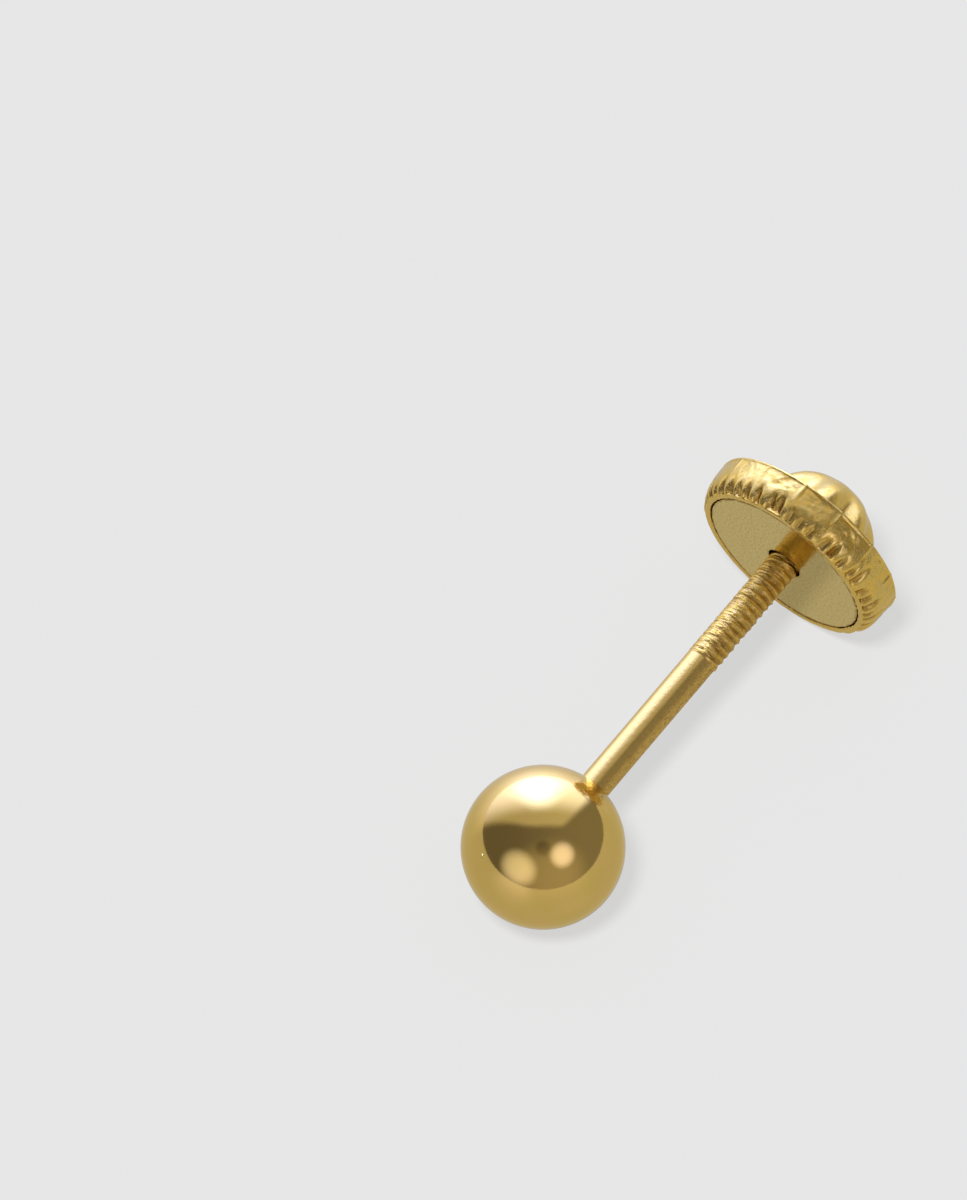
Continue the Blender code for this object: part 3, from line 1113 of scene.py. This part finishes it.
def make_stage(colours, light):
    """The floor, the lights and the camera at the picture's angle."""
    forward = Vector((-math.sin(CAMERA_AZIMUTH), math.cos(CAMERA_AZIMUTH), 0))
    right = Vector((math.cos(CAMERA_AZIMUTH), math.sin(CAMERA_AZIMUTH), 0))
    form = bmesh.new()
    bmesh.ops.create_grid(form, x_segments=1, y_segments=1, size=3)
    mesh = bpy.data.meshes.new("floor")
    form.to_mesh(mesh)
    form.free()
    mesh.materials.append(floor_material(colours))
    floor = bpy.data.objects.new("floor", mesh)
    bpy.context.scene.collection.objects.link(floor)

    studio_world(light.softbox)
    sun = bpy.data.lights.new("shadow_light", "SUN")
    sun.energy = light.sun
    sun.angle = light.sun_size
    lamp = bpy.data.objects.new("shadow_light", sun)
    lamp.visible_glossy = False
    toward = Vector((0, 0, 1)) + LAMP_RIGHT * right + LAMP_FORWARD * forward
    lamp.rotation_euler = toward.to_track_quat("Z", "Y").to_euler()
    bpy.context.scene.collection.objects.link(lamp)

    axis = Vector(NUT_TURN["axis"]).normalized()
    ball_centre = Vector(NUT_TURN["pos_m"]) - axis * (FACE_HEIGHT / MM)
    back = Vector((0, 0, math.sin(CAMERA_ELEVATION))) - forward * math.cos(CAMERA_ELEVATION)
    camera_up = back.cross(right)
    camera = bpy.data.objects.new("camera", bpy.data.cameras.new("camera"))
    camera.data.lens = CAMERA_LENS
    camera.data.clip_start = 0.01
    camera.data.clip_end = 20
    aim = ball_centre + right * AIM_RIGHT + camera_up * AIM_UP
    camera.matrix_world = Matrix.Translation(aim + back * CAMERA_DISTANCE) @ Matrix(
        (right, camera_up, back)
    ).transposed().to_4x4()
    bpy.context.scene.collection.objects.link(camera)
    bpy.context.scene.camera = camera
    bpy.context.scene.view_settings.view_transform = "Standard"


# Operators


class EARRING_OT_ball(bpy.types.Operator):
    """Model the polished ball"""

    bl_idname = "earring.ball"
    bl_label = "Ball"

    def execute(self, context):
        sizes, colours = context.scene.earring_sizes, context.scene.earring_colours
        form = bmesh.new()
        radius = sizes.ball_diameter * MM / 2
        around, down = BALL_STEPS
        bmesh.ops.create_uvsphere(form, u_segments=around, v_segments=down, radius=radius)
        ball = finished_piece(form, "gold_ball", polished_ball_material(colours))
        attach(ball, "stud")
        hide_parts("ball_and_post")
        return {"FINISHED"}


class EARRING_OT_post(bpy.types.Operator):
    """Model the post with its rolled thread, and the solder round its foot"""

    bl_idname = "earring.post"
    bl_label = "Post and solder"

    def execute(self, context):
        sizes, colours = context.scene.earring_sizes, context.scene.earring_colours
        post = finished_piece(threaded_post(sizes), "threaded_post", post_material(colours))
        solder = finished_piece(solder_ring(sizes), "solder_ring", solder_material(colours))
        for piece in (post, solder):
            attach(piece, "stud")
            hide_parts("ball_and_post")
        return {"FINISHED"}


class EARRING_OT_plate(bpy.types.Operator):
    """Model the flat plate of the nut"""

    bl_idname = "earring.plate"
    bl_label = "Nut plate"

    def execute(self, context):
        sizes, colours = context.scene.earring_sizes, context.scene.earring_colours
        plate = finished_piece(plate_form(sizes), "ear_plate", plate_material(colours))
        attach(plate, "plate")
        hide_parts("nut_plate")
        return {"FINISHED"}


class EARRING_OT_cap(bpy.types.Operator):
    """Model the crimped and lobed cap of the nut"""

    bl_idname = "earring.cap"
    bl_label = "Nut cap"

    def execute(self, context):
        sizes, colours = context.scene.earring_sizes, context.scene.earring_colours
        cap = finished_piece(crimped_cap(sizes), "crimped_cap", cap_material(colours))
        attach(cap, "cap")
        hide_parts("nut_cap")
        return {"FINISHED"}


class EARRING_OT_stage(bpy.types.Operator):
    """Set the pale floor, the soft light and the camera"""

    bl_idname = "earring.stage"
    bl_label = "Stage"

    def execute(self, context):
        make_stage(context.scene.earring_colours, context.scene.earring_light)
        return {"FINISHED"}


class VIEW3D_PT_earring(bpy.types.Panel):
    """Lists the earring's pieces, sizes and colours"""

    bl_idname = "VIEW3D_PT_earring"
    bl_label = "Ball stud earring"
    bl_space_type = "VIEW_3D"
    bl_region_type = "UI"
    bl_category = "Earring"

    def draw(self, context):
        layout = self.layout
        for operator in OPERATORS:
            layout.operator(operator.bl_idname)
        for group_name in GROUPS:
            group = getattr(context.scene, group_name)
            column = layout.column(align=True)
            for name in group.__annotations__:
                column.prop(group, name)


GROUPS = {
    "earring_sizes": EarringSizes,
    "earring_colours": EarringColours,
    "earring_light": EarringLight,
}
OPERATORS = (EARRING_OT_ball, EARRING_OT_post, EARRING_OT_plate, EARRING_OT_cap, EARRING_OT_stage)
CLASSES = (*GROUPS.values(), *OPERATORS, VIEW3D_PT_earring)


def register():
    for cls in CLASSES:
        bpy.utils.register_class(cls)
    for name, group in GROUPS.items():
        setattr(bpy.types.Scene, name, PointerProperty(type=group))


def unregister():
    for name in GROUPS:
        delattr(bpy.types.Scene, name)
    for cls in reversed(CLASSES):
        bpy.utils.unregister_class(cls)


def main():
    register()
    bpy.ops.earring.stage()
    bpy.ops.earring.ball()
    bpy.ops.earring.post()
    bpy.ops.earring.plate()
    bpy.ops.earring.cap()


if __name__ == "__main__":
    main()
